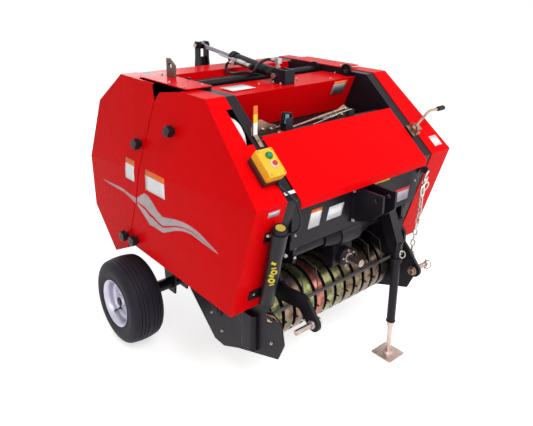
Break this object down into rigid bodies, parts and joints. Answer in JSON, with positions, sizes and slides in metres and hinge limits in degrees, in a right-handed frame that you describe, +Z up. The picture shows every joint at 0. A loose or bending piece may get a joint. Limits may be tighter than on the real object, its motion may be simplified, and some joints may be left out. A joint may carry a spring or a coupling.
{
  "type": "round baler",
  "caption": "Mini round baler for a three-point hitch: octagonal side covers, hinged rear gate with a hydraulic ram, lidded twine box, banded pick-up, two wheels and a front jack.",
  "frame": {"origin": "on the ground, midway along and across the machine", "axes": "+Z up, -Y towards the hitch, +X the machine's left side"},
  "size_m": [1.466, 1.444, 1.415],
  "materials": {
    "red_paint": "glossy",
    "black_paint": "satin",
    "plated_steel": "satin",
    "bronze": "satin",
    "zinc_bands": "satin",
    "chrome_rod": "polished",
    "tyre": "matte",
    "rim_silver": "satin",
    "yellow_plastic": "satin",
    "black_plastic": "satin",
    "white_plastic": "satin",
    "grey_steel": "satin",
    "hose_rubber": "matte"
  },
  "bodies": {
    "frame": {"front_cover_left": "red_paint", "front_cover_right": "red_paint", "top_box": "red_paint", "top_plates": "red_paint", "front_plate": "black_paint", "twine_floor": "black_paint", "side_plate_left": "black_paint", "side_plate_right": "black_paint", "front_rollers": "black_paint", "cross_beam": "black_paint", "hitch_plate_left": "black_paint", "hitch_plate_right": "black_paint", "jack_tube": "black_paint", "axle": "black_paint", "pickup_side_left": "black_paint", "pickup_side_right": "black_paint", "cylinder_bracket": "black_paint", "top_link_clevis": "black_paint", "lifting_eyes": "black_paint", "pivot_tube": "black_paint", "gearbox": "black_paint", "drive_tube": "black_paint", "wind_guard": "black_paint", "hitch_pins": "plated_steel", "hinge_rod": "plated_steel", "base_pin": "plated_steel", "jack_collar": "bronze", "twine_guide": "bronze", "pickup_bands": "zinc_bands", "control_box": "yellow_plastic", "front_knobs": "black_plastic", "manual_tube": "black_plastic", "control_buttons": "black_plastic", "twine_disc": "white_plastic", "indicator_arm": "grey_steel", "hand_lever": "grey_steel", "safety_chain": "grey_steel", "control_cable": "hose_rubber"},
    "gate": {"gate_side_left": "black_paint", "gate_side_right": "black_paint", "gate_panel": "red_paint", "gate_cover_left": "red_paint", "gate_cover_right": "red_paint", "gate_rollers": "black_paint", "gate_post": "black_paint", "gate_knobs": "black_plastic"},
    "lid": {"lid": "red_paint"},
    "barrel": {"barrel": "black_paint", "port_fitting": "plated_steel", "hose": "hose_rubber", "hose_coupler": "plated_steel"},
    "rod": {"rod": "chrome_rod"},
    "wheel_left": {"tyre_left": "tyre", "rim_left": "rim_silver"},
    "wheel_right": {"tyre_right": "tyre", "rim_right": "rim_silver"},
    "reel": {"pickup_reel": "black_paint"},
    "drive_stub": {"pto_stub": "plated_steel"},
    "jack_leg": {"jack_leg": "plated_steel"}
  },
  "joints": [
    {"name": "tailgate_hinge", "type": "hinge", "parent": "frame", "child": "gate", "pos_m": [0, 0.117, 1.288], "axis": [1, 0, 0], "range_deg": [0, 65]},
    {"name": "lid_hinge", "type": "hinge", "parent": "frame", "child": "lid", "pos_m": [0, -0.38963, 1.15302], "axis": [-1, 0, 0], "range_deg": [0, 100]},
    {"name": "barrel_tilt", "type": "hinge", "parent": "frame", "child": "barrel", "pos_m": [0, -0.04, 1.319], "axis": [1, 0, 0], "range_deg": [0, 52.5]},
    {"name": "rod_slide", "type": "slide", "parent": "barrel", "child": "rod", "axis": [0, 0.9926, 0.1213], "range_m": [-0.1212, 0]},
    {"name": "wheel_left_spin", "type": "hinge", "parent": "frame", "child": "wheel_left", "pos_m": [0.646, 0.322, 0.215], "axis": [1, 0, 0], "continuous": true},
    {"name": "wheel_right_spin", "type": "hinge", "parent": "frame", "child": "wheel_right", "pos_m": [-0.646, 0.322, 0.215], "axis": [1, 0, 0], "continuous": true},
    {"name": "pickup_spin", "type": "hinge", "parent": "frame", "child": "reel", "pos_m": [0, -0.323, 0.35], "axis": [1, 0, 0], "continuous": true},
    {"name": "drive_spin", "type": "hinge", "parent": "frame", "child": "drive_stub", "pos_m": [0, -0.564, 0.567], "axis": [0, 1, 0], "continuous": true},
    {"name": "jack_slide", "type": "slide", "parent": "frame", "child": "jack_leg", "axis": [0, 0, 1], "range_m": [0, 0.14]}
  ],
  "couplings": [
    {"joint": "barrel_tilt", "follows": "tailgate_hinge", "ratio": 0.8077},
    {"joint": "rod_slide", "follows": "tailgate_hinge", "m_per_rad": -0.1068}
  ]
}
